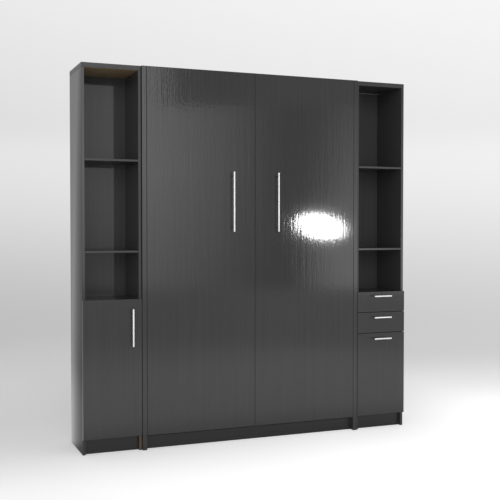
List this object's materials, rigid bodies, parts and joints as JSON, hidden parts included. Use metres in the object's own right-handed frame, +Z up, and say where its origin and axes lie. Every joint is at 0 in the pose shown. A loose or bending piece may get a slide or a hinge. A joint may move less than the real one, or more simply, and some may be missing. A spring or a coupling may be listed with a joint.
{
  "type": "wall bed",
  "caption": "Fold-down double wall bed closed against the wall, between a shelf tower with a cupboard door and a shelf tower with drawers, all with bar handles.",
  "frame": {"origin": "on the floor, at the middle of the overall box in width and depth", "axes": "+X to the right seen from the front, +Y to the wall, +Z up"},
  "size_m": [2.172, 0.405, 2.3],
  "materials": {
    "laminate": "charcoal woodgrain laminate, high gloss",
    "carcass": "charcoal woodgrain laminate, semi gloss",
    "chrome": "polished",
    "black_steel": "black powder coat",
    "zinc_steel": "zinc plated",
    "beech": "laminated beech, satin lacquer",
    "ticking": "quilted mattress ticking",
    "webbing": "woven webbing",
    "box_board": "light grey laminate"
  },
  "bodies": {
    "root": {"main_side_left": "laminate", "main_side_right": "laminate", "main_top": "carcass", "main_plinth": "laminate", "wall_rail": "carcass", "headboard": "laminate", "low_rail": "carcass", "pivot_plate_left": "zinc_steel", "pivot_plate_right": "zinc_steel", "pivot_pin_left": "zinc_steel", "pivot_pin_right": "zinc_steel", "left_side_outer": "laminate", "left_side_inner": "carcass", "left_top": "laminate", "left_deck": "carcass", "left_back": "carcass", "left_fixed_shelf": "carcass", "left_shelf_upper": "carcass", "left_shelf_lower": "carcass", "left_plinth": "carcass", "cupboard_shelf": "carcass", "right_side_outer": "laminate", "right_side_inner": "carcass", "right_top": "laminate", "right_deck": "carcass", "right_back": "carcass", "right_fixed_shelf": "carcass", "right_shelf_upper": "carcass", "right_shelf_lower": "carcass", "right_plinth": "carcass"},
    "bed": {"bed_face_left": "laminate", "bed_face_right": "laminate", "bed_handle_left": "chrome", "bed_handle_right": "chrome", "bed_frame": "black_steel", "slatted_base": "beech", "mattress": "ticking", "mattress_strap": "webbing"},
    "leg": {"foot_leg": "black_steel"},
    "strut_left": {"strut_cylinder_left": "black_steel"},
    "strut_right": {"strut_cylinder_right": "black_steel"},
    "strut_left_rod": {"strut_rod_left": "chrome"},
    "strut_right_rod": {"strut_rod_right": "chrome"},
    "door": {"door": "laminate", "door_handle": "chrome", "hinge_cup_upper": "zinc_steel", "hinge_cup_lower": "zinc_steel"},
    "drawer_upper": {"drawer_upper_front": "laminate", "drawer_upper_box": "box_board", "drawer_upper_handle": "chrome"},
    "drawer_middle": {"drawer_middle_front": "laminate", "drawer_middle_box": "box_board", "drawer_middle_handle": "chrome"},
    "drawer_deep": {"drawer_deep_front": "laminate", "drawer_deep_box": "box_board", "drawer_deep_handle": "chrome"}
  },
  "joints": [
    {"name": "bed_fold", "type": "hinge", "parent": "root", "child": "bed", "pos_m": [0, -0.0975, 0.32], "axis": [1, 0, 0], "range_deg": [0, 90]},
    {"name": "leg_swing", "type": "hinge", "parent": "bed", "child": "leg", "pos_m": [0, -0.1292, 2.21], "axis": [1, 0, 0], "range_deg": [0, 181]},
    {"name": "strut_left_swing", "type": "hinge", "parent": "root", "child": "strut_left", "pos_m": [-0.6875, 0.0075, 0.675], "axis": [1, 0, 0], "range_deg": [-3, 1]},
    {"name": "strut_right_swing", "type": "hinge", "parent": "root", "child": "strut_right", "pos_m": [0.6875, 0.0075, 0.675], "axis": [1, 0, 0], "range_deg": [-3, 1]},
    {"name": "strut_left_stroke", "type": "slide", "parent": "strut_left", "child": "strut_left_rod", "axis": [0, 0.0574, 0.9984], "range_m": [0, 0.161]},
    {"name": "strut_right_stroke", "type": "slide", "parent": "strut_right", "child": "strut_right_rod", "axis": [0, 0.0574, 0.9984], "range_m": [0, 0.161]},
    {"name": "door_hinge", "type": "hinge", "parent": "root", "child": "door", "pos_m": [-1.086, -0.1515, 0.501], "axis": [0, 0, -1], "range_deg": [0, 110]},
    {"name": "drawer_upper_slide", "type": "slide", "parent": "root", "child": "drawer_upper", "axis": [0, -1, 0], "range_m": [0, 0.21]},
    {"name": "drawer_middle_slide", "type": "slide", "parent": "root", "child": "drawer_middle", "axis": [0, -1, 0], "range_m": [0, 0.21]},
    {"name": "drawer_deep_slide", "type": "slide", "parent": "root", "child": "drawer_deep", "axis": [0, -1, 0], "range_m": [0, 0.21]}
  ],
  "couplings": [
    {"joint": "leg_swing", "follows": "bed_fold", "ratio": 2},
    {"joint": "strut_left_swing", "follows": "bed_fold", "ratio": -0.021169},
    {"joint": "strut_right_swing", "follows": "bed_fold", "ratio": -0.021169},
    {"joint": "strut_left_stroke", "follows": "bed_fold", "m_per_rad": 0.10159},
    {"joint": "strut_right_stroke", "follows": "bed_fold", "m_per_rad": 0.10159}
  ]
}
